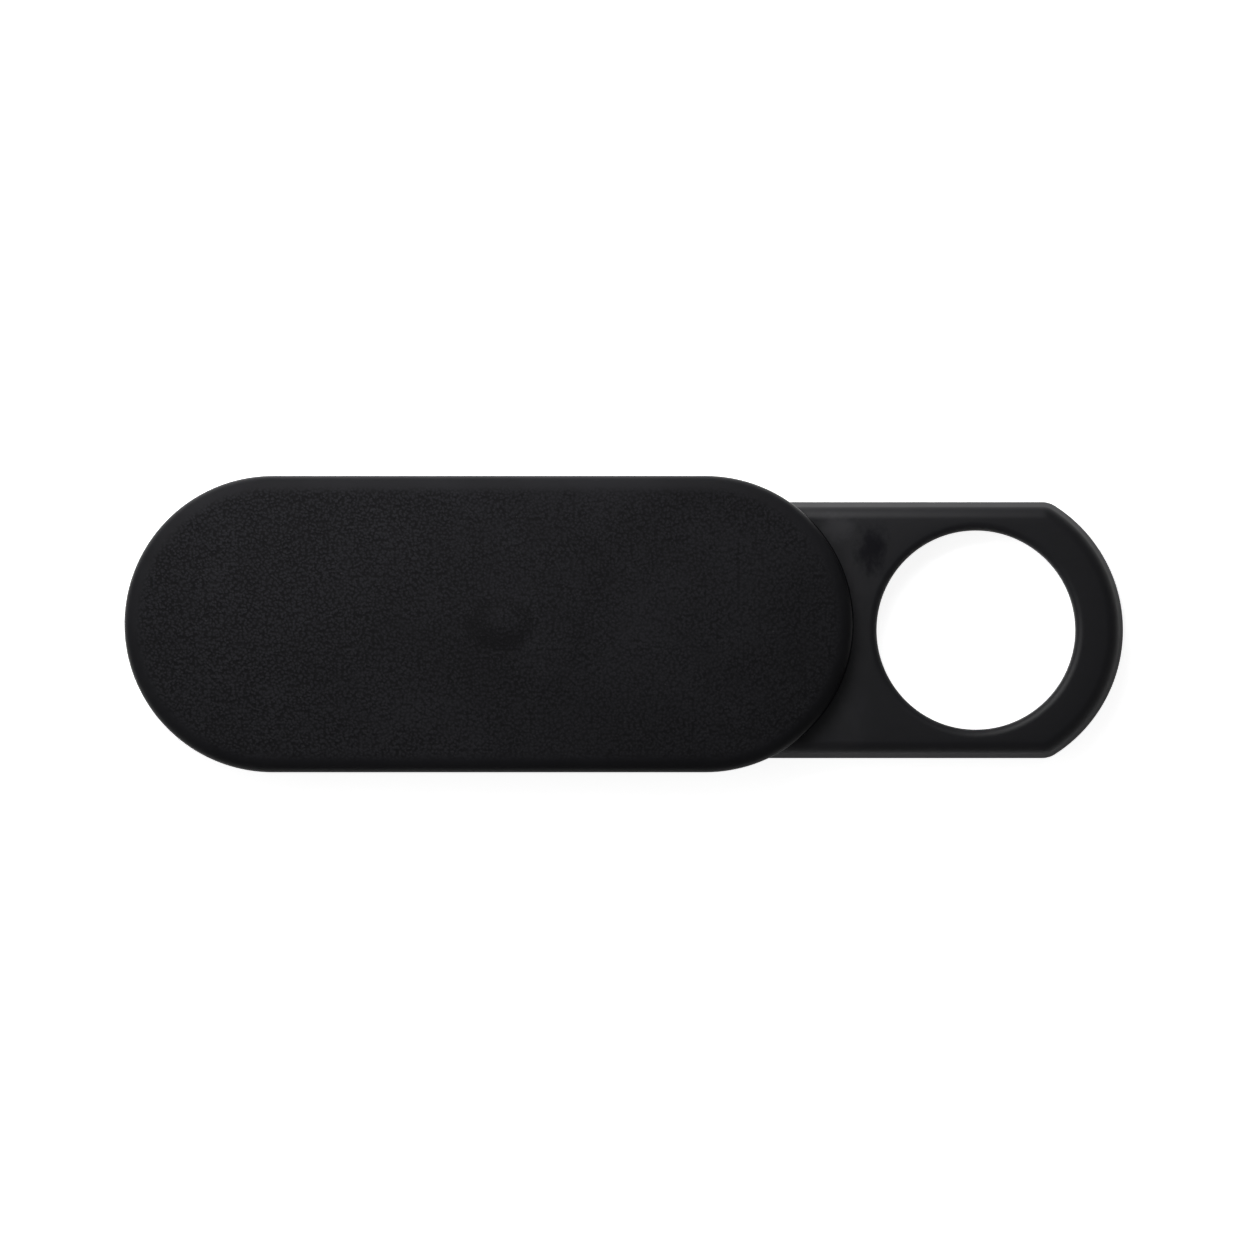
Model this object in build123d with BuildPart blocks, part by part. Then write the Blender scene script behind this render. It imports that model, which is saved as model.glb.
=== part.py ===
"""Webcam cover slider: a stick-on base plate with a round lens window, and a cover that slides over it.

Frame: the origin is on the lens axis, in the plane that the part lies on. +X is the way the cover
shuts, +Y is up across the face, +Z points out of the face. The cover is modelled open.
"""

import os
from math import sqrt

from build123d import *

# Lens window and the plate round it
window_diameter = 8.2
window_land = 1.2  # plate left beside the window, on each long side
window_rim_radius = 0.35
open_margin = 0.95  # strip of plate that shows between the open cover and the window
slot_land = 2.1  # plate left between the window and the channel for the peg's head
end_land = 2.05  # plate left past the channel, at the far end

# Base plate
base_thickness = 1.2
base_draft = 15  # degrees that the plate's sides lean in towards its front
base_edge_radius = 0.55
base_corner_radius = 1.0  # where the straight sides meet the round ends
base_back_chamfer = 0.08
lip_thickness = 0.55  # the slot's lips, which the peg's head hooks under
slot_edge_chamfer = 0.12

# Sliding cover
cover_plate = 0.9
cover_edge_radius = 0.65
cover_under_chamfer = 0.08
side_wall = 0.5
wall_tip = 0.25  # the round ends thin the side walls, which stop at this thickness
wall_foot_gap = 0.15  # how far the side walls stop short of the base plate's back
wall_foot_chamfer = 0.08

# Peg, with a head formed over behind the base plate
peg_length = 2.4
peg_width = 1.6
peg_root_flare = 0.12
head_hold = 0.5  # how far the head reaches under each lip, when centred
head_thickness = 0.45
head_bevel = 0.2

# Low oval nub for a fingertip, on the cover's face over the peg
nub_length = 2.9
nub_width = 2.1
nub_rise = 0.05

# Running clearances
slide_gap = 0.1  # between the cover and the face of the base plate
side_clearance = 0.3  # between each side wall and the base plate
side_touch = 0.05  # left on the side that the cover lies against
peg_clearance = 0.05  # beside the peg when a side wall touches
stop_gap = 0.1  # at each end of the peg's travel
head_gap = 0.1  # above the peg's head, and round it when the peg touches

# Adhesive
pad_thickness = 0.3
pad_inset = 0.3
pad_cut_margin = 0.25  # the pad's openings stand back from the window and the channel
liner_thickness = 0.1

# Sizes that follow, across the part
window_radius = window_diameter / 2
base_width = window_diameter + 2 * window_land
guide_width = base_width + 2 * side_clearance
cover_width = guide_width + 2 * side_wall
end_radius = cover_width / 2
peg_play = side_clearance + peg_clearance
head_spread = peg_play + head_hold
slot_width = peg_width + 2 * peg_play
head_width = peg_width + 2 * head_spread
channel_width = head_width + 2 * (peg_play + head_gap)

# Sizes that follow, along the part
travel = end_radius + window_radius + open_margin
slot_length = travel + peg_length + 2 * stop_gap
head_length = peg_length + 2 * head_spread
channel_length = travel + head_length + 2 * (stop_gap + head_gap)
base_length = end_radius + window_radius + slot_land + channel_length + end_land
cover_length = base_length
wall_length = cover_length - cover_width + 2 * sqrt(end_radius**2 - (guide_width / 2 + wall_tip) ** 2)

# Levels, from the surface that the part lies on
base_back = liner_thickness + pad_thickness
base_front = base_back + base_thickness
channel_depth = base_thickness - lip_thickness
cover_under = base_front + slide_gap
cover_front = cover_under + cover_plate
wall_foot = base_back + wall_foot_gap
head_top = base_back + channel_depth - head_gap

# Places along the part, from the lens axis, and the cover's lie across it
base_middle = end_radius - base_length / 2
cover_middle = base_middle - travel
slot_middle = -window_radius - slot_land - channel_length / 2
peg_middle = slot_middle - travel / 2
cover_shift = side_clearance - side_touch

base_plane = Plane((base_middle, 0, 0))
slot_plane = Plane((slot_middle, 0, 0))
cover_plane = Plane((cover_middle, cover_shift, 0))
peg_plane = Plane((peg_middle, cover_shift, 0))

# The nub is the top of a barrel that lies along the slide, below the face
nub_axis_drop = nub_width**2 / (8 * nub_rise) - nub_rise / 2
nub_plane = Plane((peg_middle, cover_shift, cover_front), x_dir=(1, 0, 0), z_dir=(0, -1, 0))
nub_axis = Axis((peg_middle, cover_shift, cover_front - nub_axis_drop), (1, 0, 0))


def draw_base_outline():
    """The shut cover's outline with its long sides cut straight, in the sketch that is open."""
    SlotOverall(base_length, cover_width)
    Rectangle(base_length, base_width, mode=Mode.INTERSECT)
    fillet(vertices(), base_corner_radius)


def draw_pad_outline():
    """The base plate's back, drawn in and cut clear of the window and the channel, in the open sketch."""
    draw_base_outline()
    offset(amount=-pad_inset, mode=Mode.REPLACE)
    with Locations((-base_middle, 0)):
        Circle(window_radius + pad_cut_margin, mode=Mode.SUBTRACT)
    with Locations((slot_middle - base_middle, 0)):
        RectangleRounded(
            channel_length + 2 * pad_cut_margin,
            channel_width + 2 * pad_cut_margin,
            head_width / 2 + pad_cut_margin,
            mode=Mode.SUBTRACT,
        )


# Base plate, with the lens window and the lipped slot
with BuildPart() as base_plate:
    with BuildSketch(base_plane.offset(base_back)):
        draw_base_outline()
    extrude(amount=base_thickness, taper=base_draft)
    fillet(base_plate.faces().sort_by(Axis.Z)[-1].edges(), base_edge_radius)
    chamfer(base_plate.faces().sort_by(Axis.Z)[0].edges(), base_back_chamfer)
    with BuildSketch(Plane.XY.offset(base_back)):
        Circle(window_radius)
    extrude(amount=base_thickness, mode=Mode.SUBTRACT)
    fillet(base_plate.faces().sort_by(Axis.Z)[-1].inner_wires().edges(), window_rim_radius)
    with BuildSketch(slot_plane.offset(base_front)):
        RectangleRounded(slot_length, slot_width, peg_width / 2)
    extrude(amount=-base_thickness, mode=Mode.SUBTRACT)
    chamfer(base_plate.edges(Select.LAST).group_by(Axis.Z)[-1], slot_edge_chamfer)
    with BuildSketch(slot_plane.offset(base_back)):
        RectangleRounded(channel_length, channel_width, head_width / 2)
    extrude(amount=channel_depth, mode=Mode.SUBTRACT)

# Sliding cover, with its side walls, the headed peg and the nub over the peg
with BuildPart() as sliding_cover:
    with BuildSketch(cover_plane.offset(cover_under)):
        SlotOverall(cover_length, cover_width)
    extrude(amount=cover_plate)
    fillet(sliding_cover.faces().sort_by(Axis.Z)[-1].edges(), cover_edge_radius)
    chamfer(sliding_cover.faces().sort_by(Axis.Z)[0].edges(), cover_under_chamfer)
    with BuildSketch(cover_plane.offset(wall_foot)):
        SlotOverall(cover_length, cover_width)
        Rectangle(wall_length, cover_width, mode=Mode.INTERSECT)
        Rectangle(cover_length, guide_width, mode=Mode.SUBTRACT)
    extrude(amount=cover_under + cover_under_chamfer - wall_foot)
    chamfer(sliding_cover.faces().group_by(Axis.Z)[0].edges(), wall_foot_chamfer)

    with BuildSketch(peg_plane.offset(head_top)):
        SlotOverall(peg_length, peg_width)
    extrude(amount=cover_under - head_top)
    chamfer(sliding_cover.edges(Select.LAST).group_by(Axis.Z)[-1], peg_root_flare)
    with BuildSketch(peg_plane.offset(head_top)):
        SlotOverall(head_length, head_width)
    extrude(amount=-head_thickness)
    chamfer(sliding_cover.faces(Select.LAST).sort_by(Axis.Z)[0].edges(), head_bevel)

    with BuildPart():
        with BuildSketch(nub_plane):
            with BuildLine():
                crown = SagittaArc((-nub_length / 2, 0), (nub_length / 2, 0), nub_rise)
                Polyline(crown @ 1, (nub_length / 2, -nub_axis_drop), (-nub_length / 2, -nub_axis_drop), crown @ 0)
            make_face()
        revolve(axis=nub_axis)
        split(bisect_by=Plane.XY.offset(cover_front))

# Adhesive pad and its liner, die-cut together to one outline
with BuildPart() as adhesive_pad:
    with BuildSketch(base_plane.offset(liner_thickness)):
        draw_pad_outline()
    extrude(amount=pad_thickness)

with BuildPart() as release_liner:
    with BuildSketch(base_plane):
        draw_pad_outline()
    extrude(amount=liner_thickness)

base_plate.part.label = "base_plate"
sliding_cover.part.label = "sliding_cover"
adhesive_pad.part.label = "adhesive_pad"
release_liner.part.label = "release_liner"

os.makedirs("parts", exist_ok=True)
export_step(base_plate.part, "parts/base_plate.step")
export_step(sliding_cover.part, "parts/sliding_cover.step")
export_step(adhesive_pad.part, "parts/adhesive_pad.step")
export_step(release_liner.part, "parts/release_liner.step")
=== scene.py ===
"""Webcam cover slider: its mesh pieces, finishes and studio stage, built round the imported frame."""

from collections import namedtuple
from math import atan2, cos, pi, radians, sin, sqrt

import bmesh
import bpy
from bpy.props import FloatProperty, FloatVectorProperty, IntProperty, PointerProperty
from bpy.types import Operator, Panel, PropertyGroup
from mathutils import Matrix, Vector


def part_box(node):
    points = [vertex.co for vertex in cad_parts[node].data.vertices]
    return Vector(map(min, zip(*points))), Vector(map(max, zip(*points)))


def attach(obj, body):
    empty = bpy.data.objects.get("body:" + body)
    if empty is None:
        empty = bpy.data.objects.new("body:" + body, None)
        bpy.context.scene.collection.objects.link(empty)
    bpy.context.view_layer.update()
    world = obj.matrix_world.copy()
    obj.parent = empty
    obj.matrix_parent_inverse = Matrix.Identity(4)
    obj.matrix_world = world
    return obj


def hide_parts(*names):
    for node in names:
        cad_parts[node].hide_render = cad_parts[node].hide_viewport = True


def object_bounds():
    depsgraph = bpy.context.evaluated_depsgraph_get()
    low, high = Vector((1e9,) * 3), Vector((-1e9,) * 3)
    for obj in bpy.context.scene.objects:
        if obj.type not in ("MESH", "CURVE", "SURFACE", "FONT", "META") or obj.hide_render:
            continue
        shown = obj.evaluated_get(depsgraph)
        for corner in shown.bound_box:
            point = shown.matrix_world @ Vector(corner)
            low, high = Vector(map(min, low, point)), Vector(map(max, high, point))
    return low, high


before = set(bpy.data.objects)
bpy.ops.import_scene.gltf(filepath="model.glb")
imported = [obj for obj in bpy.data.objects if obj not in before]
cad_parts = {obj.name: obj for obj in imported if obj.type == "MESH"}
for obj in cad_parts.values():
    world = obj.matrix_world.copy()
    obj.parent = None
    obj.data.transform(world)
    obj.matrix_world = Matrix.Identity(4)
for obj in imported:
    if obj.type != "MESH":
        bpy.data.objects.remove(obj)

bl_info = {
    "name": "Webcam cover slider",
    "version": (1, 0, 0),
    "blender": (4, 5, 0),
    "location": "3D View > Sidebar > Cover Slider",
    "description": "Builds the cover, base plate, adhesive and stage of a webcam cover slider",
    "category": "Object",
}

MM = 0.001
CAD_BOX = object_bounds()

# Places and outer sizes, read from the frame
COVER_LOW, COVER_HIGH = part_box("sliding_cover")
BASE_LOW, BASE_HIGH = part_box("base_plate")
COVER_MIDDLE = (COVER_LOW + COVER_HIGH) / 2
BASE_MIDDLE = (BASE_LOW + BASE_HIGH) / 2
END_RADIUS = (COVER_HIGH.y - COVER_LOW.y) / 2

SHARP_ANGLE = radians(35)
MERGE_DISTANCE = 1e-8
Arc = namedtuple("Arc", "x y radius start sweep steps run")

# Angles in degrees, distances and sizes in metres
AREA_LIGHT_POWER = 4  # an area light's power over its area and its radiance
Softbox = namedtuple("Softbox", "name azimuth elevation distance width height radiance")
SOFTBOXES = (
    Softbox("top_softbox", 108, 43, 0.03, 0.05, 0.03, 2.9),
    Softbox("left_softbox", 190, 45, 0.12, 0.08, 0.06, 0.6),
)

# Spots on the finishes, in millimetres: on the cover from the nub, on the base plate from the lens axis
Spot = namedtuple("Spot", "x y reach softness ragged")
WORN = Spot(5, 0, (16, 11, 9), 0.8, 0.5)
# The nub's foot, less most of its crown, makes a ring of painted shade round the nub; the crown is set above
# the middle, so the painted shade is deepest below the nub. The foot also marks where the grain is smoothed.
NUB_FOOT = Spot(0, 0, (1.7, 1.25, 1), 0.35, 0.1)
NUB_UNSHADED_CROWN = Spot(0.1, 0.2, (1.15, 0.85, 1), 0.7, 0.2)
SMUDGE = Spot(-4.3, 3.3, (0.9, 1.25, 1), 0.8, 1.7)
# Beside the cover on the base plate are two pale patches of painted light over the shade that the cover
# casts; there the plastic is also rubbed to another gloss and roughness.
SCUFFED_PAINTED_LIGHT = Spot(-5.75, 4.2, (1.1, 0.8, 1), 0.8, 1.4)
RUBBED_PAINTED_LIGHT = Spot(-6.2, -0.5, (2.8, 6.5, 1), 0.9, 0.9)


# Settings

def length(name, description, default):
    """A length property, in metres."""
    return FloatProperty(name=name, description=description, default=default, unit="LENGTH", precision=5)


def share(name, description, default):
    """A property from 0 to 1."""
    return FloatProperty(
        name=name, description=description, default=default, min=0.0, max=1.0, subtype="FACTOR"
    )


def change(name, description, default):
    """A property from -1 to 1 that is added to another."""
    return FloatProperty(
        name=name, description=description, default=default, min=-1.0, max=1.0, subtype="FACTOR"
    )


def colour(name, description, default):
    """A colour property, in linear values."""
    return FloatVectorProperty(
        name=name, description=description, default=default, min=0.0, max=1.0, subtype="COLOR"
    )


class CoverSettings(PropertyGroup):
    """Sizes and finish of the sliding cover."""

    plate: length("Plate", "Thickness of the cover's plate", 0.9 * MM)
    rim_radius: length("Rim radius", "Rounding of the rim round the face", 0.65 * MM)
    under_chamfer: length("Under chamfer", "Chamfer below the round ends", 0.08 * MM)
    side_wall: length("Side wall", "Thickness of the walls that straddle the base", 0.5 * MM)
    wall_tip: length("Wall tip", "Thickness at which the side walls stop", 0.25 * MM)
    wall_foot: length("Wall foot", "Height of the side walls' feet above the surface", 0.55 * MM)
    foot_chamfer: length("Foot chamfer", "Chamfer round the side walls' feet", 0.08 * MM)
    peg_length: length("Peg length", "Length of the peg along the slide", 2.4 * MM)
    peg_width: length("Peg width", "Width of the peg", 1.6 * MM)
    peg_offset: length("Peg offset", "From the cover's middle to the peg, along the slide", 0.45 * MM)
    peg_flare: length("Peg flare", "Flare at the peg's root", 0.12 * MM)
    head_spread: length("Head spread", "How far the formed head reaches past the peg", 0.85 * MM)
    head_thickness: length("Head thickness", "Thickness of the formed head", 0.45 * MM)
    head_bevel: length("Head bevel", "Bevel round the formed head", 0.2 * MM)
    nub_length: length("Nub length", "Length of the low nub over the peg", 2.9 * MM)
    nub_width: length("Nub width", "Width of the low nub over the peg", 2.1 * MM)
    nub_rise: length("Nub rise", "How far the nub stands out of the face", 0.05 * MM)
    grain_cell: length("Grain cell", "Size of a cell of the moulded grain", 0.125 * MM)
    grain_depth: length("Grain depth", "Depth of the moulded grain", 0.038 * MM)
    smooth_border: length("Smooth border", "Width of the ungrained border inside the outline", 0.42 * MM)
    plastic: colour("Plastic", "Colour of the black plastic", (0.004, 0.004, 0.0047))
    # This colour is also where the grain's crests are painted towards, as a painted highlight.
    bloom: colour("Bloom", "Colour of the grain's crests and of the pale bloom", (0.0122, 0.0122, 0.0142))
    lint: colour("Lint", "Colour of the specks of lint", (0.05, 0.05, 0.052))
    roughness: share("Roughness", "Roughness of the grained face", 0.62)
    side_roughness: change("Side roughness", "Change of roughness on the upright sides", -0.4)
    specular: share("Specular", "Strength of the plastic's reflection", 0.08)


class BaseSettings(PropertyGroup):
    """Sizes and finish of the base plate."""

    draft: FloatProperty(
        name="Draft", description="How far the sides lean in towards the front",
        default=radians(15), subtype="ANGLE",
    )
    edge_radius: length("Edge radius", "Rounding of the front's outer edge", 0.55 * MM)
    corner_radius: length("Corner radius", "Rounding where the sides meet the round ends", 1.0 * MM)
    back_chamfer: length("Back chamfer", "Chamfer of the back's outer edge", 0.08 * MM)
    window_radius: length("Window radius", "Radius of the lens window", 4.1 * MM)
    window_rim: length("Window rim", "Rounding of the window's rim", 0.35 * MM)
    slot_length: length("Slot length", "Length of the peg's slot", 13.75 * MM)
    slot_width: length("Slot width", "Width of the peg's slot", 2.3 * MM)
    slot_radius: length("Slot radius", "Corner radius of the peg's slot", 0.8 * MM)
    slot_chamfer: length("Slot chamfer", "Chamfer of the slot's front edge", 0.12 * MM)
    slot_middle: length("Slot middle", "From the lens axis to the slot's middle", -14.025 * MM)
    lip: length("Lip", "Thickness of the slot's lips", 0.55 * MM)
    channel_length: length("Channel length", "Length of the channel behind the slot", 15.65 * MM)
    channel_width: length("Channel width", "Width of the channel behind the slot", 4.2 * MM)
    channel_radius: length("Channel radius", "Corner radius of the channel", 1.65 * MM)
    plastic: colour("Plastic", "Colour of the black plastic", (0.003, 0.003, 0.0048))
    # The pale patches' colour is painted light, lifting the shade that the cover casts.
    rubbed_and_painted_light: colour("Rubbed", "Colour of the plastic where it is rubbed", (0.0105, 0.0105, 0.0132))
    roughness: share("Roughness", "Roughness of the satin face", 0.52)
    side_roughness: change("Side roughness", "Change of roughness on the upright sides", -0.1)
    specular: share("Specular", "Strength of the plastic's reflection", 0.34)


class AdhesiveSettings(PropertyGroup):
    """Sizes and finish of the adhesive pad and its liner."""

    inset: length("Inset", "From the base plate's outline to the pad's", 0.3 * MM)
    cut_margin: length("Cut margin", "How far the pad's openings stand back", 0.25 * MM)
    edge_waist: length("Edge waist", "How far the foam's cut edge is drawn in", 0.03 * MM)
    foam: colour("Foam", "Colour of the foam", (0.05, 0.05, 0.053))
    paper: colour("Paper", "Colour of the liner's paper", (0.8, 0.79, 0.75))


class StageSettings(PropertyGroup):
    """Floor, lights and camera."""

    floor: colour("Floor", "Colour of the floor and backdrop", (0.9, 0.9, 0.9))
    floor_radius: length("Floor radius", "Radius of the flat floor", 0.55)
    sweep_radius: length("Sweep radius", "Radius of the curve from the floor to the backdrop", 0.1)
    backdrop_height: length("Backdrop height", "Height of the backdrop", 0.12)
    light_level: FloatProperty(
        name="Light level", description="Level of the softboxes", default=1.0, min=0.0, subtype="FACTOR"
    )
    fill: share("Fill", "Strength of the even light from all round", 0.32)
    overhead: share("Overhead", "Strength of the even light from straight above", 0.16)
    lens: FloatProperty(
        name="Lens", description="Focal length of the camera", default=400.0, min=1.0, unit="CAMERA"
    )
    frame_width: length("Frame width", "Width that the camera takes in, at the object", 51.4 * MM)
    frame_middle: FloatVectorProperty(
        name="Frame middle", description="Point that the camera looks at", subtype="XYZ", unit="LENGTH",
        default=(-14.46 * MM, 0.21 * MM, 2.0 * MM),
    )


class SliderSettings(PropertyGroup):
    """All settings of the webcam cover slider."""

    cover: PointerProperty(type=CoverSettings)
    base: PointerProperty(type=BaseSettings)
    adhesive: PointerProperty(type=AdhesiveSettings)
    stage: PointerProperty(type=StageSettings)
    arc_steps: IntProperty(
        name="Arc steps", description="Facets in a half turn of an outline", default=72, min=8, max=200
    )


# Outlines: arcs in order, counter-clockwise, joined by straight runs

def arc_points(arcs, inset=0.0):
    """Points of a closed outline, drawn in by inset, or out where that is negative."""
    points = []
    for arc, following in zip(arcs, arcs[1:] + arcs[:1]):
        radius = arc.radius - inset
        for i in range(arc.steps):
            angle = arc.start + arc.sweep * i / arc.steps
            points.append(Vector((arc.x + radius * cos(angle), arc.y + radius * sin(angle))))
        end = arc.start + arc.sweep
        first = Vector((arc.x + radius * cos(end), arc.y + radius * sin(end)))
        radius, start = following.radius - inset, following.start
        last = Vector((following.x + radius * cos(start), following.y + radius * sin(start)))
        for i in range(arc.run):
            points.append(first.lerp(last, i / arc.run))
    return points


def strip_arcs(middle, end_x, end_radius, corner, corner_radius, turn, steps, run):
    """Outline of a strip with round ends: on each end arc the corners take over at the angle turn.

    middle is the strip's centre, end_x and corner are the arcs' centres from there.
    """
    corner_turn = pi / 2 - turn
    corner_steps = max(3, round(steps * corner_turn / pi))
    arcs = []
    for side in (0.0, pi):
        sign = cos(side)
        x, y = middle.x + sign * end_x, middle.y
        corner_x = middle.x + sign * corner.x
        end_steps = round(steps * 2 * turn / pi)
        arcs.append(Arc(x, y, end_radius, side - turn, 2 * turn, end_steps, 0))
        arcs.append(
            Arc(corner_x, y + sign * corner.y, corner_radius, side + turn, corner_turn, corner_steps, run)
        )
        arcs.append(
            Arc(middle.x - sign * corner.x, y + sign * corner.y, corner_radius,
                side + pi / 2, corner_turn, corner_steps, 0)
        )
    return arcs


def rounded_arcs(x, y, size_x, size_y, radius, steps, run_x, run_y):
    """Outline of a rounded rectangle about a point."""
    reach_x, reach_y = size_x / 2 - radius, size_y / 2 - radius
    corners = ((1, -1, -pi / 2, run_y), (1, 1, 0.0, run_x), (-1, 1, pi / 2, run_y), (-1, -1, pi, run_x))
    return [
        Arc(x + sx * reach_x, y + sy * reach_y, radius, start, pi / 2, steps, run)
        for sx, sy, start, run in corners
    ]


def circle_arcs(radius, steps):
    """Outline of a circle about the lens axis."""
    return [Arc(0.0, 0.0, radius, 0.0, 2 * pi, steps, 0)]


def track_arcs(settings, size_x, size_y, radius, steps):
    """Outline of the slot, or of what lies behind it, about the slot's middle."""
    long_run, short_run = 24, 2
    return rounded_arcs(settings.slot_middle, 0.0, size_x, size_y, radius, steps // 6, long_run, short_run)


def plate_arcs(settings, steps, inset=0.0):
    """Outline of the base plate's back: the cover's outline with its long sides cut straight."""
    straight_run = 60
    cut_off = settings.back_chamfer * sin(settings.draft)
    half_width = (BASE_HIGH.y - BASE_LOW.y) / 2 + cut_off
    end_x = (BASE_HIGH.x - BASE_LOW.x) / 2 + cut_off - END_RADIUS
    corner_y = half_width - settings.corner_radius
    corner_reach = sqrt((END_RADIUS - settings.corner_radius) ** 2 - corner_y**2)
    corner = Vector((end_x + corner_reach, corner_y))
    turn = atan2(corner_y, corner_reach)
    return strip_arcs(
        BASE_MIDDLE, end_x, END_RADIUS - inset, corner, settings.corner_radius - inset, turn, steps,
        straight_run,
    )


# Meshes

def ring(bm, points, height):
    """Vertices at the points of an outline; height is a number or a function of a point."""
    level = height if callable(height) else lambda point: height
    return [bm.verts.new((p.x, p.y, level(p))) for p in points]


def skin(bm, rows, closed=True):
    """Quads between rows of vertices that have the same count."""
    for upper, lower in zip(rows, rows[1:]):
        count = len(upper)
        for i in range(count if closed else count - 1):
            j = (i + 1) % count
            bm.faces.new((upper[i], lower[i], lower[j], upper[j]))


def fill(bm, *loops):
    """A flat face between closed loops: the first is its outline and the others are its holes."""
    edges = []
    for loop in loops:
        for a, b in zip(loop, loop[1:] + loop[:1]):
            edges.append(bm.edges.get((a, b)) or bm.edges.new((a, b)))
    bmesh.ops.triangle_fill(bm, use_beauty=True, use_dissolve=False, edges=edges)


def quarter_round(radius, steps):
    """Insets and drops of a quarter round, from the flat face to the upright side."""
    angles = [pi / 2 * i / steps for i in range(1, steps + 1)]
    return [(radius * (1 - sin(a)), radius * (1 - cos(a))) for a in angles]


def drafted_edge(settings, thickness, steps):
    """Insets and heights of the plate's edge: its rounded front, its drafted side and its chamfered back."""
    draft, radius, chamfer = settings.draft, settings.edge_radius, settings.back_chamfer
    middle_inset = (radius + (thickness - radius) * sin(draft)) / cos(draft)
    angles = [pi / 2 + (draft - pi / 2) * i / steps for i in range(steps + 1)]
    profile = [(middle_inset - radius * cos(a), thickness - radius + radius * sin(a)) for a in angles]
    return profile + [(chamfer * sin(draft), chamfer * cos(draft)), (chamfer, 0.0)]


def finish_piece(bm, name, material, body, node):
    """Makes the object, shades it and hands it to the frame."""
    bmesh.ops.remove_doubles(bm, verts=bm.verts, dist=MERGE_DISTANCE)
    bmesh.ops.dissolve_degenerate(bm, edges=bm.edges, dist=MERGE_DISTANCE)
    bmesh.ops.recalc_face_normals(bm, faces=bm.faces)
    for face in bm.faces:
        face.smooth = True
    for edge in bm.edges:
        edge.smooth = not edge.is_manifold or edge.calc_face_angle() < SHARP_ANGLE
    mesh = bpy.data.meshes.new(name)
    bm.to_mesh(mesh)
    bm.free()
    mesh.materials.append(material)
    piece = bpy.data.objects.new(name, mesh)
    bpy.context.scene.collection.objects.link(piece)
    even = piece.modifiers.new("Even normals", "WEIGHTED_NORMAL")
    even.keep_sharp = True
    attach(piece, body)
    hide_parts(node)
    return piece


# Shader nodes

def add(tree, kind, inputs=None, **settings):
    """A node with its settings, its inputs set or linked."""
    node = tree.nodes.new(kind)
    for name, value in settings.items():
        setattr(node, name, value)
    for name, value in (inputs or {}).items():
        if isinstance(value, bpy.types.NodeSocket):
            tree.links.new(value, node.inputs[name])
        else:
            node.inputs[name].default_value = value
    return node


def maths(tree, operation, first, second=0.0):
    """Output of a Math node."""
    return add(tree, "ShaderNodeMath", {0: first, 1: second}, operation=operation).outputs[0]


def ease(tree, value, low, high, to_low=0.0, to_high=1.0):
    """A value eased from one range to another."""
    inputs = {"Value": value, "From Min": low, "From Max": high, "To Min": to_low, "To Max": to_high}
    node = add(tree, "ShaderNodeMapRange", inputs, interpolation_type="SMOOTHSTEP")
    return node.outputs["Result"]


def blend(tree, factor, first, second):
    """Two colours mixed by a factor."""
    node = add(tree, "ShaderNodeMix", data_type="RGBA")
    for socket, value in zip((node.inputs[0], node.inputs[6], node.inputs[7]), (factor, first, second)):
        if isinstance(value, bpy.types.NodeSocket):
            tree.links.new(value, socket)
        else:
            socket.default_value = value
    return node.outputs[2]


def new_group(name, inputs, outputs):
    """A shader node group with named sockets; returns the tree and its two end nodes."""
    tree = bpy.data.node_groups.new(name, "ShaderNodeTree")
    for socket, kind, default in inputs:
        made = tree.interface.new_socket(socket, in_out="INPUT", socket_type=kind)
        made.default_value = default
    for socket in outputs:
        tree.interface.new_socket(socket, in_out="OUTPUT", socket_type="NodeSocketFloat")
    return tree, add(tree, "NodeGroupInput"), add(tree, "NodeGroupOutput")


def noise(tree, vector, scale, detail=2.0, roughness=0.5, distortion=0.0):
    """A noise texture's value."""
    inputs = {
        "Vector": vector, "Scale": scale, "Detail": detail,
        "Roughness": roughness, "Distortion": distortion,
    }
    return add(tree, "ShaderNodeTexNoise", inputs).outputs["Fac"]


def moulded_grain():
    """Node group: height of a leathery moulded grain, for a cell size in metres."""
    tree, start, end = new_group(
        "Moulded Grain",
        (("Vector", "NodeSocketVector", (0, 0, 0)), ("Cell", "NodeSocketFloat", 0.125 * MM)),
        ("Height",),
    )
    warp_share, dome_share, fine_share = 0.9, 0.4, 0.6
    scale = maths(tree, "DIVIDE", 1.0, start.outputs["Cell"])
    warp_inputs = {"Vector": start.outputs["Vector"], "Scale": scale, "Detail": 1.0}
    warp = add(tree, "ShaderNodeTexNoise", warp_inputs).outputs["Color"]
    reach = add(tree, "ShaderNodeVectorMath", {0: warp}, operation="SCALE")
    tree.links.new(maths(tree, "MULTIPLY", start.outputs["Cell"], warp_share), reach.inputs["Scale"])
    moved = add(
        tree, "ShaderNodeVectorMath", {0: start.outputs["Vector"], 1: reach.outputs[0]}, operation="ADD"
    ).outputs[0]
    cells = add(
        tree, "ShaderNodeTexVoronoi", voronoi_dimensions="2D", feature="SMOOTH_F1",
        inputs={"Vector": moved, "Scale": scale, "Smoothness": 0.5},
    ).outputs["Distance"]
    fine = noise(tree, moved, maths(tree, "MULTIPLY", scale, 1.2), 3.0, 0.6)
    domes = maths(tree, "MULTIPLY", ease(tree, cells, 0.0, 0.7, 1.0, 0.0), dome_share)
    height = maths(tree, "ADD", domes, maths(tree, "MULTIPLY", fine, fine_share))
    tree.links.new(height, end.inputs["Height"])
    return tree


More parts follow.
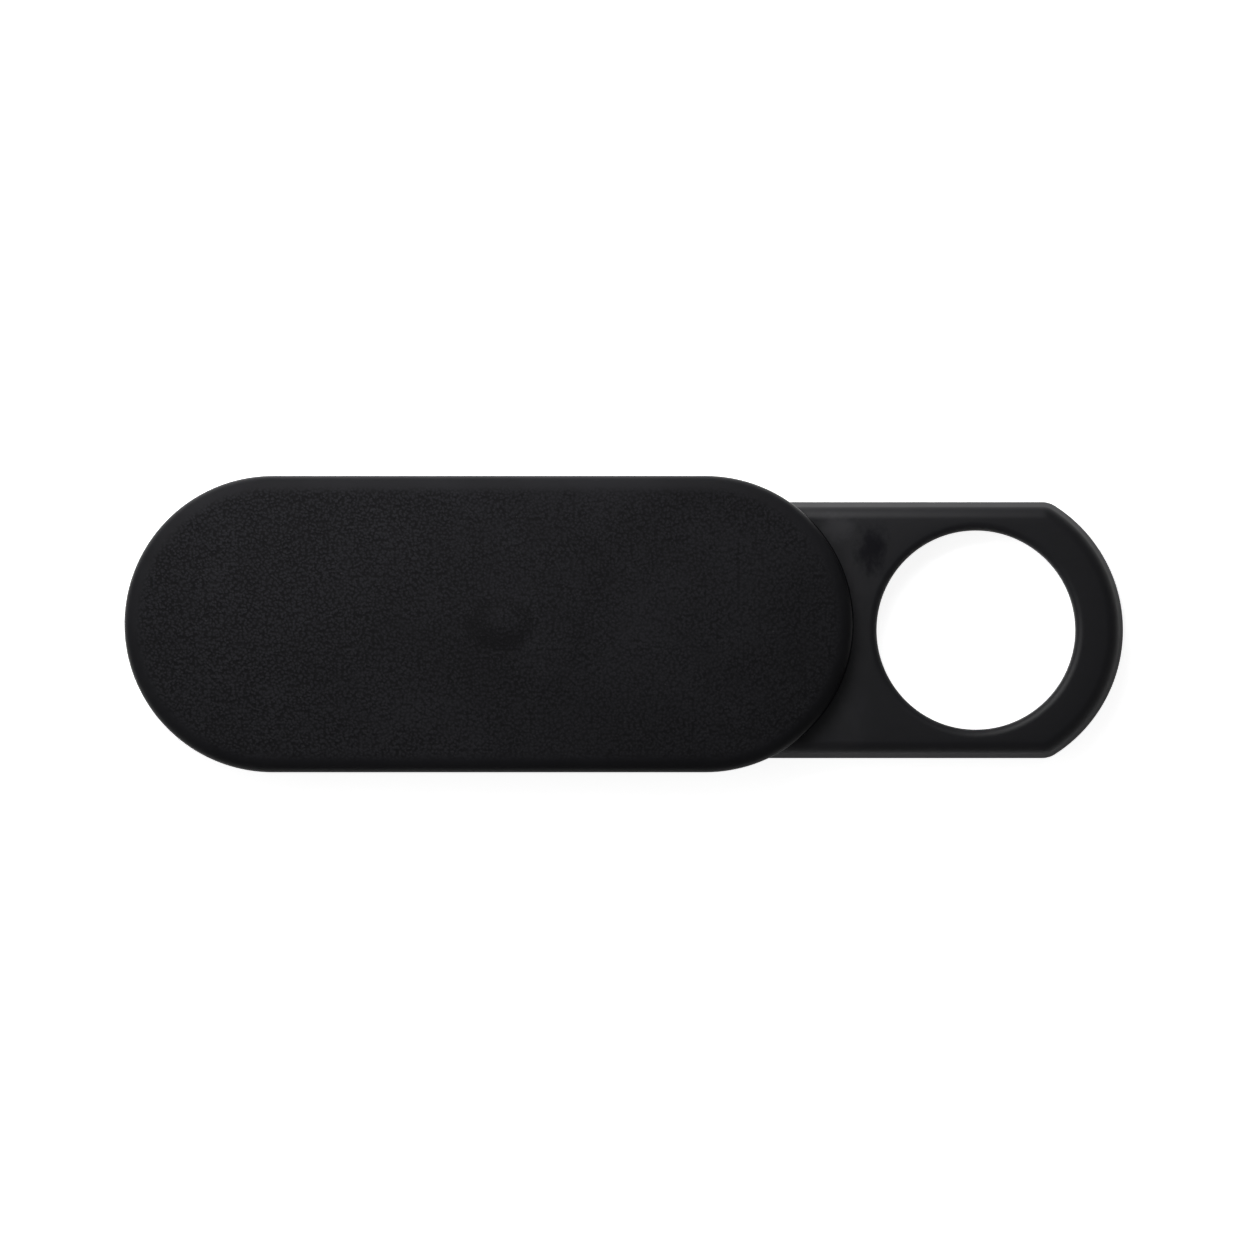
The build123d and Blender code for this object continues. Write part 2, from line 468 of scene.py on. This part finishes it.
def handling_bloom():
    """Node group: cloudy bloom left by handling, and sparse specks of lint."""
    tree, start, end = new_group(
        "Handling Bloom",
        (("Vector", "NodeSocketVector", (0, 0, 0)), ("Patch", "NodeSocketFloat", 4 * MM)),
        ("Bloom", "Lint"),
    )
    scale = maths(tree, "DIVIDE", 1.0, start.outputs["Patch"])
    cloud = noise(tree, start.outputs["Vector"], scale, 4.0, 0.6, 0.4)
    tree.links.new(ease(tree, cloud, 0.35, 0.7), end.inputs["Bloom"])
    dots = add(
        tree, "ShaderNodeTexVoronoi",
        {"Vector": start.outputs["Vector"], "Scale": maths(tree, "MULTIPLY", scale, 9.0)},
    )
    near = ease(tree, dots.outputs["Distance"], 0.03, 0.07, 1.0, 0.0)
    parts = add(tree, "ShaderNodeSeparateColor", {"Color": dots.outputs["Color"]})
    chosen = maths(tree, "GREATER_THAN", parts.outputs[0], 0.9)
    tree.links.new(maths(tree, "MULTIPLY", near, chosen), end.inputs["Lint"])
    return tree


def soft_spot():
    """Node group: mask of an oval spot at a place, with a soft and ragged edge."""
    tree, start, end = new_group(
        "Soft Spot",
        (
            ("Vector", "NodeSocketVector", (0, 0, 0)),
            ("Centre", "NodeSocketVector", (0, 0, 0)),
            ("Reach", "NodeSocketVector", (1 * MM, 1 * MM, 1 * MM)),
            ("Softness", "NodeSocketFloat", 0.5),
            ("Ragged", "NodeSocketFloat", 0.3),
        ),
        ("Mask",),
    )
    away = add(
        tree, "ShaderNodeVectorMath", {0: start.outputs["Vector"], 1: start.outputs["Centre"]},
        operation="SUBTRACT",
    ).outputs[0]
    shares = add(
        tree, "ShaderNodeVectorMath", {0: away, 1: start.outputs["Reach"]}, operation="DIVIDE"
    ).outputs[0]
    radius = add(tree, "ShaderNodeVectorMath", {0: shares}, operation="LENGTH").outputs["Value"]
    rough = maths(tree, "SUBTRACT", noise(tree, shares, 1.8, 5.0, 0.65), 0.5)
    edge = maths(tree, "ADD", radius, maths(tree, "MULTIPLY", rough, start.outputs["Ragged"]))
    inner = maths(tree, "SUBTRACT", 1.0, start.outputs["Softness"])
    tree.links.new(ease(tree, edge, inner, 1.0, 1.0, 0.0), end.inputs["Mask"])
    return tree


GROUP_MAKERS = {
    "Moulded Grain": moulded_grain,
    "Handling Bloom": handling_bloom,
    "Soft Spot": soft_spot,
}


def use_group(tree, name, inputs):
    """A node group placed in a material, made the first time that it is asked for."""
    group = bpy.data.node_groups.get(name) or GROUP_MAKERS[name]()
    return add(tree, "ShaderNodeGroup", inputs, node_tree=group).outputs


def new_material(name):
    """A material with a Principled BSDF; returns it with its tree, shader and object coordinates."""
    material = bpy.data.materials.new(name)
    material.use_nodes = True
    tree = material.node_tree
    place = add(tree, "ShaderNodeTexCoord").outputs["Object"]
    return material, tree, tree.nodes["Principled BSDF"], place


def bump(tree, height, depth):
    """Normals of a height from 0 to 1 over a depth in metres."""
    return add(tree, "ShaderNodeBump", {"Height": height, "Distance": depth, "Strength": 1.0}).outputs[0]


def side_change(tree, amount):
    """An amount on the upright sides that fades to nothing on the front."""
    side, front = 0.3, 0.95  # how far the surface faces up
    normal = add(tree, "ShaderNodeNewGeometry").outputs["Normal"]
    facing = add(tree, "ShaderNodeSeparateXYZ", {"Vector": normal}).outputs["Z"]
    return ease(tree, facing, side, front, amount, 0.0)


def spot_mask(tree, place, origin, spot):
    """Mask of a spot on a face, placed from an origin on that face."""
    return use_group(tree, "Soft Spot", {
        "Vector": place, "Centre": origin + Vector((spot.x * MM, spot.y * MM, 0.0)),
        "Reach": [reach * MM for reach in spot.reach], "Softness": spot.softness, "Ragged": spot.ragged,
    })["Mask"]


def rgba(values):
    """A colour with its alpha."""
    return (*values, 1.0)


# Finishes

def cover_plastic(settings):
    """Black plastic with a leathery grain on the face, worn where it is pushed; the grain's crests carry a
    painted highlight and its hollows painted shade, and a ring of painted shade lies round the nub, deepest
    below it.
    """
    material, tree, shader, place = new_material("cover_plastic")
    worn_relief, crown_share = 0.65, 0.85
    # The last two tones are the strengths of the painted highlight and shade on the grain's relief and of
    # the painted shade round the nub.
    face_tone, bloom_tone, crest_light_tone, nub_shade_tone = 0.35, 0.35, 3.2, 0.45
    bloom_roughness, lint_strength = 0.1, 0.5
    bloom_patch, uneven_patch = 5 * MM, 0.6 * MM

    shader.inputs["Specular IOR Level"].default_value = settings.specular
    grained = add(tree, "ShaderNodeAttribute", attribute_name="grain").outputs["Fac"]
    peg = Vector((COVER_MIDDLE.x + settings.peg_offset, COVER_MIDDLE.y, COVER_HIGH.z))
    worn = spot_mask(tree, place, peg, WORN)
    outer = spot_mask(tree, place, peg, NUB_FOOT)
    inner = spot_mask(tree, place, peg, NUB_UNSHADED_CROWN)
    # A ring of painted shade round the nub, deepest below it.
    nub_shade_ring = maths(tree, "SUBTRACT", outer, maths(tree, "MULTIPLY", inner, crown_share))
    bloom = use_group(tree, "Handling Bloom", {"Vector": place, "Patch": bloom_patch})
    height = use_group(tree, "Moulded Grain", {"Vector": place, "Cell": settings.grain_cell})["Height"]

    smoothed = maths(tree, "MAXIMUM", worn, outer)
    uneven = ease(tree, noise(tree, place, 1 / uneven_patch, 3.0, 0.6), 0.3, 0.7, 0.7, 1.3)
    crisp = maths(tree, "MULTIPLY", grained, ease(tree, smoothed, 0.0, 0.8, 1.0, worn_relief))
    relief = maths(tree, "MULTIPLY", crisp, uneven)
    raised = maths(tree, "MULTIPLY", height, relief)
    tree.links.new(bump(tree, raised, settings.grain_depth), shader.inputs["Normal"])

    pale = maths(tree, "MULTIPLY", bloom["Bloom"], bloom_tone)
    # Painted highlight on the grain's crests and painted shade in its hollows, following the bump's height.
    crest = maths(tree, "MULTIPLY", relief, maths(tree, "SUBTRACT", height, 0.5))
    tone = maths(tree, "ADD", pale, maths(tree, "MULTIPLY", crest, crest_light_tone))
    # The painted shade round the nub is taken off the colour.
    painted_nub_shade = maths(tree, "MULTIPLY", nub_shade_ring, nub_shade_tone)
    clear = maths(tree, "SUBTRACT", maths(tree, "ADD", tone, face_tone), painted_nub_shade)
    lifted = blend(tree, clear, rgba(settings.plastic), rgba(settings.bloom))
    specks = maths(tree, "MULTIPLY", bloom["Lint"], lint_strength)
    tree.links.new(blend(tree, specks, lifted, rgba(settings.lint)), shader.inputs["Base Color"])

    rough = maths(tree, "ADD", maths(tree, "MULTIPLY", pale, bloom_roughness), settings.roughness)
    smoother = side_change(tree, settings.side_roughness)
    tree.links.new(maths(tree, "ADD", rough, smoother), shader.inputs["Roughness"])
    return material


def base_plastic(settings):
    """Satin black plastic, ungrained, with a smudge beside the window, and pale patches there: painted light
    over the shade that the cover casts, where the gloss and roughness are also rubbed.
    """
    material, tree, shader, place = new_material("base_plastic")
    scuffed_share, smudged_share = 0.7, 0.3
    rubbed_specular, smudge_specular = 0.14, 0.2
    rubbed_roughness, smudge_roughness = 0.12, 0.08
    bloom_patch, fine_patch, fine_depth = 3 * MM, 0.06 * MM, 0.0015 * MM

    face = Vector((0.0, 0.0, BASE_HIGH.z))
    smudge = spot_mask(tree, place, face, SMUDGE)
    scuffed_painted_light = spot_mask(tree, place, face, SCUFFED_PAINTED_LIGHT)
    rubbed_and_painted_light = spot_mask(tree, place, face, RUBBED_PAINTED_LIGHT)
    bloom = use_group(tree, "Handling Bloom", {"Vector": place, "Patch": bloom_patch})
    fine = noise(tree, place, 1 / fine_patch, 2.0, 0.5)
    cloudy = maths(tree, "ADD", maths(tree, "MULTIPLY", bloom["Bloom"], 0.5), 0.5)
    # Pale patches beside the cover: painted light over the cover's cast shade, which also change the gloss
    # and roughness as rubbing.
    patches = maths(tree, "MULTIPLY", rubbed_and_painted_light, cloudy)
    pale = maths(tree, "MAXIMUM", patches, maths(tree, "MULTIPLY", scuffed_painted_light, scuffed_share))
    painted_light_and_rub = maths(tree, "MULTIPLY", pale, ease(tree, smudge, 0.0, 1.0, 1.0, smudged_share))
    colour_mix = blend(tree, painted_light_and_rub, rgba(settings.plastic), rgba(settings.rubbed_and_painted_light))
    tree.links.new(colour_mix, shader.inputs["Base Color"])

    lost = maths(tree, "MULTIPLY", smudge, smudge_specular)
    gloss = maths(tree, "SUBTRACT", maths(tree, "MULTIPLY", painted_light_and_rub, rubbed_specular), lost)
    tree.links.new(maths(tree, "ADD", gloss, settings.specular), shader.inputs["Specular IOR Level"])

    rough = maths(tree, "ADD", maths(tree, "MULTIPLY", painted_light_and_rub, rubbed_roughness), settings.roughness)
    polish = maths(tree, "SUBTRACT", rough, maths(tree, "MULTIPLY", smudge, smudge_roughness))
    smoother = side_change(tree, settings.side_roughness)
    tree.links.new(maths(tree, "ADD", polish, smoother), shader.inputs["Roughness"])
    tree.links.new(bump(tree, fine, fine_depth), shader.inputs["Normal"])
    return material


def pad_foam(settings):
    """Dark acrylic foam with open cells at its cut edge, their pits painted darker as painted shade."""
    material, tree, shader, place = new_material("pad_foam")
    cell, cell_depth, mottle_patch, pore_shade_share = 0.09 * MM, 0.03 * MM, 1.2 * MM, 0.45
    cells = add(tree, "ShaderNodeTexVoronoi", {"Vector": place, "Scale": 1 / cell}).outputs["Distance"]
    mottle = noise(tree, place, 1 / mottle_patch, 3.0, 0.6)
    pore_shade = tuple(pore_shade_share * value for value in settings.foam)
    # The pits of the cells are painted darker, as painted shade, with a random mottle.
    tone = maths(tree, "MULTIPLY", ease(tree, cells, 0.1, 0.5), maths(tree, "ADD", mottle, 0.4))
    tree.links.new(blend(tree, tone, rgba(pore_shade), rgba(settings.foam)), shader.inputs["Base Color"])
    tree.links.new(ease(tree, mottle, 0.3, 0.7, 0.75, 0.95), shader.inputs["Roughness"])
    tree.links.new(bump(tree, cells, cell_depth), shader.inputs["Normal"])
    return material


def liner_paper(settings):
    """White release paper, with fibres and a faint coated sheen."""
    material, tree, shader, place = new_material("liner_paper")
    fibre_length, fibre_depth, cloud_patch, shade_share = 0.8 * MM, 0.004 * MM, 3 * MM, 0.9
    stretched = add(tree, "ShaderNodeMapping", {"Vector": place, "Scale": (1.0, 5.0, 5.0)}).outputs[0]
    fibres = noise(tree, stretched, 1 / fibre_length, 4.0, 0.6, 0.6)
    cloud = noise(tree, place, 1 / cloud_patch, 2.0, 0.5)
    shade = tuple(shade_share * value for value in settings.paper)
    tone = maths(tree, "MULTIPLY", fibres, maths(tree, "ADD", cloud, 0.3))
    colour_mix = blend(tree, ease(tree, tone, 0.2, 0.5), rgba(shade), rgba(settings.paper))
    tree.links.new(colour_mix, shader.inputs["Base Color"])
    tree.links.new(ease(tree, cloud, 0.3, 0.7, 0.42, 0.55), shader.inputs["Roughness"])
    tree.links.new(bump(tree, fibres, fibre_depth), shader.inputs["Normal"])
    return material


def studio_paper(settings):
    """White paper of the floor and backdrop, lifted to white where it is seen.

    It is clear from behind and lets the fill light through, so that the underside can be looked at.
    """
    material, tree, shader, _ = new_material("studio_paper")
    seen_lift, mirrored_lift = 0.82, 0.04
    shader.inputs["Base Color"].default_value = rgba(settings.floor)
    shader.inputs["Roughness"].default_value = 0.9
    shader.inputs["Specular IOR Level"].default_value = 0.1
    seen = add(tree, "ShaderNodeLightPath").outputs
    looked_at = maths(tree, "MAXIMUM", seen["Is Camera Ray"], seen["Is Transmission Ray"])
    mirrored = maths(tree, "MULTIPLY", seen["Is Glossy Ray"], mirrored_lift)
    lift = maths(tree, "ADD", maths(tree, "MULTIPLY", looked_at, seen_lift), mirrored)
    shader.inputs["Emission Color"].default_value = (1.0, 1.0, 1.0, 1.0)
    tree.links.new(lift, shader.inputs["Emission Strength"])
    behind = add(tree, "ShaderNodeNewGeometry").outputs["Backfacing"]
    filled = maths(tree, "MAXIMUM", seen["Is Shadow Ray"], seen["Is Diffuse Ray"])
    absent = maths(tree, "MAXIMUM", behind, filled)
    clear = add(tree, "ShaderNodeBsdfTransparent").outputs[0]
    paper = add(tree, "ShaderNodeMixShader", {0: absent, 1: shader.outputs[0], 2: clear}).outputs[0]
    tree.links.new(paper, tree.nodes["Material Output"].inputs["Surface"])
    return material


# Pieces

def face_height(settings):
    """Height of the cover's face at a point: flat, with a low domed nub over the peg."""
    peg_x = COVER_MIDDLE.x + settings.peg_offset
    front = COVER_HIGH.z - settings.nub_rise
    foot_spread = 0.9  # the nub's foot runs out past its oval

    def height(point):
        shares = Vector((2 * (point.x - peg_x) / settings.nub_length,
                         2 * (point.y - COVER_MIDDLE.y) / settings.nub_width))
        away = min(1.0, foot_spread * shares.length)
        return front + settings.nub_rise * (1 - away * away * (3 - 2 * away))

    return height


def cover_arcs(settings, steps, run):
    """The cover's outline, split where the side walls end; returns the arcs and the walls' end."""
    end_x = (COVER_HIGH.x - COVER_LOW.x) / 2 - END_RADIUS
    tip_y = END_RADIUS - settings.side_wall + settings.wall_tip
    turn = atan2(tip_y, sqrt(END_RADIUS**2 - tip_y**2))
    arcs = strip_arcs(COVER_MIDDLE, end_x, END_RADIUS, Vector((end_x, 0.0)), END_RADIUS, turn, steps, run)
    return arcs, end_x + END_RADIUS * cos(turn)


def build_cover(settings, steps):
    """The cover: a plate with a rounded rim, side walls that straddle the base and a headed peg."""
    bm = bmesh.new()
    grain = bm.verts.layers.float.new("grain")
    straight_run, face_rings, rim_steps = 120, 44, 12
    arcs, wall_end = cover_arcs(settings, steps, straight_run)
    under = COVER_HIGH.z - settings.nub_rise - settings.plate
    height = face_height(settings)

    face_width = END_RADIUS - settings.rim_radius
    profile = [(END_RADIUS - face_width * i / face_rings, 0.0) for i in range(face_rings + 1)]
    rows = []
    for inset, drop in profile + quarter_round(settings.rim_radius, rim_steps):
        row = ring(bm, arc_points(arcs, inset), lambda point: height(point) - drop)
        depth = min(1.0, max(0.0, inset / settings.smooth_border - 1.0))
        for vert in row:
            vert[grain] = depth
        rows.append(row)
    rows.append(ring(bm, arc_points(arcs), under + settings.under_chamfer))
    skin(bm, rows)

    side = rows[-1]
    ends = arcs[0].steps
    walls = (len(side) - 2 * ends) // 2
    side += side[:1]
    chamfer_points = arc_points(arcs, settings.under_chamfer)
    chamfer_points += chamfer_points[:1]
    outline = []
    stretches = []
    for first in (0, ends + walls):
        sign = 1 if first == 0 else -1
        edge = side[first:first + ends + 1]
        points = chamfer_points[first:first + ends + 1]
        end_x = COVER_MIDDLE.x + sign * wall_end
        reach = wall_end - (COVER_HIGH.x - COVER_LOW.x) / 2 + END_RADIUS
        tip_y = sqrt((END_RADIUS - settings.under_chamfer) ** 2 - reach**2)
        points = [Vector((end_x, COVER_MIDDLE.y - sign * tip_y)), *points[1:-1],
                  Vector((end_x, COVER_MIDDLE.y + sign * tip_y))]
        lower = ring(bm, points, under)
        skin(bm, (edge, lower), closed=False)
        stretches.append(lower)
    for first, before, after in ((ends, 0, 1), (2 * ends + walls, 1, 0)):
        sign = 1 if before == 0 else -1
        edge = side[first:first + walls + 1]
        inner = build_wall(bm, settings, edge, sign, under, stretches[before][-1], stretches[after][0])
        outline += stretches[before] + inner
    build_peg(bm, settings, outline, under, steps)
    return finish_piece(bm, "cover", cover_plastic(settings), "cover", "sliding_cover")


def build_wall(bm, settings, edge, sign, under, before, after):
    """One side wall, hung from an edge of the cover's side; returns the top of its inner face."""
    foot, cut = settings.wall_foot, settings.foot_chamfer
    inner_y = COVER_MIDDLE.y + sign * (END_RADIUS - settings.side_wall)
    low, high = min(edge[0].co.x, edge[-1].co.x) + cut, max(edge[0].co.x, edge[-1].co.x) - cut

    def row(y_of, z, drawn_in=False):
        made = []
        for vert in edge:
            x = min(high, max(low, vert.co.x)) if drawn_in else vert.co.x
            made.append(bm.verts.new((x, y_of(vert), z)))
        return made

    outer = row(lambda vert: vert.co.y, foot + cut)
    outer_foot = row(lambda vert: vert.co.y - sign * cut, foot, True)
    inner_foot = row(lambda vert: inner_y + sign * cut, foot, True)
    inner = row(lambda vert: inner_y, foot + cut)
    inner_top = row(lambda vert: inner_y, under)
    skin(bm, (edge, outer, outer_foot, inner_foot, inner, inner_top), closed=False)
    for i, corner in ((0, before), (-1, after)):
        bm.faces.new((edge[i], outer[i], inner[i], inner_top[i], corner))
        bm.faces.new((outer[i], outer_foot[i], inner_foot[i], inner[i]))
    return inner_top


def build_peg(bm, settings, outline, under, steps):
    """The peg on the cover's underside, with its flared root and formed head."""
    peg_x = COVER_MIDDLE.x + settings.peg_offset
    straight_run = 6
    arcs = rounded_arcs(
        peg_x, COVER_MIDDLE.y, settings.peg_length, settings.peg_width, settings.peg_width / 2,
        steps // 4, straight_run, 0,
    )
    head_low = COVER_LOW.z
    head_top = head_low + settings.head_thickness
    flare, spread, bevel = settings.peg_flare, settings.head_spread, settings.head_bevel
    levels = (
        (-flare, under), (0.0, under - flare), (0.0, head_top), (-spread, head_top),
        (-spread, head_low + bevel), (bevel - spread, head_low),
    )
    rows = [ring(bm, arc_points(arcs, inset), z) for inset, z in levels]
    skin(bm, rows)
    fill(bm, outline, rows[0])
    bm.faces.new(rows[-1])


def build_base(settings, steps):
    """The base plate, with its lens window and the lipped slot for the peg."""
    bm = bmesh.new()
    arcs = plate_arcs(settings, steps)
    window = circle_arcs(settings.window_radius, 2 * steps)
    slot = track_arcs(settings, settings.slot_length, settings.slot_width, settings.slot_radius, steps)
    channel = track_arcs(
        settings, settings.channel_length, settings.channel_width, settings.channel_radius, steps
    )
    front, back = BASE_HIGH.z, BASE_LOW.z
    ledge = front - settings.lip
    round_steps = 12

    profile = drafted_edge(settings, front - back, round_steps)
    edge = [ring(bm, arc_points(arcs, inset), back + rise) for inset, rise in profile]
    skin(bm, edge)

    rim = [ring(bm, arc_points(window, -settings.window_rim), front)]
    for inset, drop in quarter_round(settings.window_rim, round_steps):
        rim.append(ring(bm, arc_points(window, -inset), front - drop))
    rim.append(ring(bm, arc_points(window), back))
    skin(bm, rim)

    lips = [
        ring(bm, arc_points(slot, -settings.slot_chamfer), front),
        ring(bm, arc_points(slot), front - settings.slot_chamfer),
        ring(bm, arc_points(slot), ledge),
    ]
    skin(bm, lips)
    track = [ring(bm, arc_points(channel), ledge), ring(bm, arc_points(channel), back)]
    skin(bm, track)

    fill(bm, edge[0], rim[0], lips[0])
    fill(bm, track[0], lips[-1])
    fill(bm, edge[-1], rim[-1], track[-1])
    return finish_piece(bm, "base", base_plastic(settings), "base", "base_plate")


def build_sheet(name, material, node, settings, base, steps, waist):
    """A die-cut sheet on the back of the base plate, with its cut edge drawn in by waist."""
    bm = bmesh.new()
    low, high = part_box(node)
    margin = settings.cut_margin
    outlines = (
        plate_arcs(base, steps, settings.inset),
        circle_arcs(base.window_radius + margin, 2 * steps),
        track_arcs(base, base.channel_length + 2 * margin, base.channel_width + 2 * margin,
                   base.channel_radius + margin, steps),
    )
    tops, bottoms = [], []
    for i, arcs in enumerate(outlines):
        inward = waist if i == 0 else -waist
        rows = [ring(bm, arc_points(arcs), high.z)]
        if waist:
            rows.append(ring(bm, arc_points(arcs, inward), (low.z + high.z) / 2))
        rows.append(ring(bm, arc_points(arcs), low.z))
        skin(bm, rows)
        tops.append(rows[0])
        bottoms.append(rows[-1])
    fill(bm, *tops)
    fill(bm, *bottoms)
    return finish_piece(bm, name, material, "base", node)


# Stage

def build_floor(settings):
    """A round floor that sweeps up into a backdrop on all sides."""
    bm = bmesh.new()
    radius, sweep = settings.floor_radius, settings.sweep_radius
    middle_share, floor_gap = 0.15, 0.02 * MM
    sweep_steps, facets = 16, 96
    profile = [(middle_share * radius, 0.0), (radius, 0.0)]
    for i in range(1, sweep_steps + 1):
        angle = pi / 2 * i / sweep_steps
        profile.append((radius + sweep * sin(angle), sweep * (1 - cos(angle))))
    profile.append((radius + sweep, settings.backdrop_height))
    level = CAD_BOX[0].z - floor_gap
    rows = [
        ring(bm, arc_points(circle_arcs(reach, facets)), level + rise) for reach, rise in profile
    ]
    skin(bm, rows)
    bm.faces.new(rows[0])
    for face in bm.faces:
        face.smooth = True
    mesh = bpy.data.meshes.new("studio_floor")
    bm.to_mesh(mesh)
    bm.free()
    mesh.materials.append(studio_paper(settings))
    floor = bpy.data.objects.new("studio_floor", mesh)
    bpy.context.scene.collection.objects.link(floor)


def add_softbox(box, target, level):
    """A soft light that looks at a target; its radiance follows the light level."""
    data = bpy.data.lights.new(box.name, "AREA")
    data.shape = "RECTANGLE"
    data.size, data.size_y = box.width, box.height
    data.energy = AREA_LIGHT_POWER * box.width * box.height * box.radiance * level
    light = bpy.data.objects.new(box.name, data)
    azimuth, elevation = radians(box.azimuth), radians(box.elevation)
    away = Vector((cos(elevation) * cos(azimuth), cos(elevation) * sin(azimuth), sin(elevation)))
    light.visible_camera = False
    light.location = target + away * box.distance
    light.rotation_euler = away.to_track_quat("Z", "Y").to_euler()
    bpy.context.scene.collection.objects.link(light)


def build_lights(settings):
    """Softboxes at the top and left of the view, and an even fill that is weaker overhead."""
    for box in SOFTBOXES:
        add_softbox(box, COVER_MIDDLE, settings.light_level)
    world = bpy.data.worlds.new("studio_fill")
    world.use_nodes = True
    tree = world.node_tree
    background = tree.nodes["Background"]
    background.inputs["Color"].default_value = (1.0, 1.0, 1.0, 1.0)
    seen = add(tree, "ShaderNodeLightPath").outputs["Is Camera Ray"]
    towards = add(tree, "ShaderNodeTexCoord").outputs["Generated"]
    height = add(tree, "ShaderNodeSeparateXYZ", {"Vector": towards}).outputs["Z"]
    level = ease(tree, height, 0.0, 1.0, settings.fill, settings.overhead)
    tree.links.new(maths(tree, "MAXIMUM", seen, level), background.inputs["Strength"])
    bpy.context.scene.world = world


def build_camera(settings):
    """A long lens that looks straight down on the face."""
    data = bpy.data.cameras.new("camera")
    data.lens = settings.lens
    data.clip_start = 0.01
    camera = bpy.data.objects.new("camera", data)
    distance = settings.frame_width * settings.lens / data.sensor_width
    camera.location = Vector(settings.frame_middle) + Vector((0.0, 0.0, distance))
    bpy.context.scene.collection.objects.link(camera)
    bpy.context.scene.camera = camera


# Operators and panel

class SLIDER_OT_cover(Operator):
    """Builds the sliding cover with its walls and peg."""

    bl_idname = "cover_slider.cover"
    bl_label = "Sliding Cover"

    def execute(self, context):
        settings = context.scene.cover_slider
        build_cover(settings.cover, settings.arc_steps)
        return {"FINISHED"}


class SLIDER_OT_base(Operator):
    """Builds the base plate with its window and slot."""

    bl_idname = "cover_slider.base"
    bl_label = "Base Plate"

    def execute(self, context):
        settings = context.scene.cover_slider
        build_base(settings.base, settings.arc_steps)
        return {"FINISHED"}


class SLIDER_OT_adhesive(Operator):
    """Builds the adhesive pad and its release liner."""

    bl_idname = "cover_slider.adhesive"
    bl_label = "Adhesive Pad and Liner"

    def execute(self, context):
        settings = context.scene.cover_slider
        sheet = settings.adhesive
        build_sheet("pad", pad_foam(sheet), "adhesive_pad", sheet, settings.base,
                    settings.arc_steps, sheet.edge_waist)
        build_sheet("liner", liner_paper(sheet), "release_liner", sheet, settings.base,
                    settings.arc_steps, 0.0)
        return {"FINISHED"}


class SLIDER_OT_stage(Operator):
    """Builds the floor, lights and camera."""

    bl_idname = "cover_slider.stage"
    bl_label = "Stage"

    def execute(self, context):
        settings = context.scene.cover_slider.stage
        build_floor(settings)
        build_lights(settings)
        build_camera(settings)
        context.scene.view_settings.view_transform = "Standard"
        return {"FINISHED"}


class SLIDER_PT_sidebar(Panel):
    """Lists the pieces and the stage."""

    bl_idname = "SLIDER_PT_sidebar"
    bl_label = "Webcam Cover Slider"
    bl_space_type = "VIEW_3D"
    bl_region_type = "UI"
    bl_category = "Cover Slider"

    def draw(self, context):
        settings = context.scene.cover_slider
        self.layout.prop(settings, "arc_steps")
        for operator, name in PARTS:
            box = self.layout.box()
            box.operator(operator.bl_idname)
            group = getattr(settings, name)
            for key in group.bl_rna.properties.keys():
                if key not in ("rna_type", "name"):
                    box.prop(group, key)


PARTS = (
    (SLIDER_OT_cover, "cover"),
    (SLIDER_OT_base, "base"),
    (SLIDER_OT_adhesive, "adhesive"),
    (SLIDER_OT_stage, "stage"),
)
CLASSES = (
    CoverSettings, BaseSettings, AdhesiveSettings, StageSettings, SliderSettings,
    SLIDER_OT_cover, SLIDER_OT_base, SLIDER_OT_adhesive, SLIDER_OT_stage, SLIDER_PT_sidebar,
)


def register():
    """Adds the settings, the operators and the panel."""
    for cls in CLASSES:
        bpy.utils.register_class(cls)
    bpy.types.Scene.cover_slider = PointerProperty(type=SliderSettings)


def unregister():
    """Takes them away again."""
    del bpy.types.Scene.cover_slider
    for cls in reversed(CLASSES):
        bpy.utils.unregister_class(cls)


def main():
    """Builds all pieces and the stage."""
    register()
    bpy.ops.cover_slider.cover()
    bpy.ops.cover_slider.base()
    bpy.ops.cover_slider.adhesive()
    bpy.ops.cover_slider.stage()


if __name__ == "__main__":
    main()
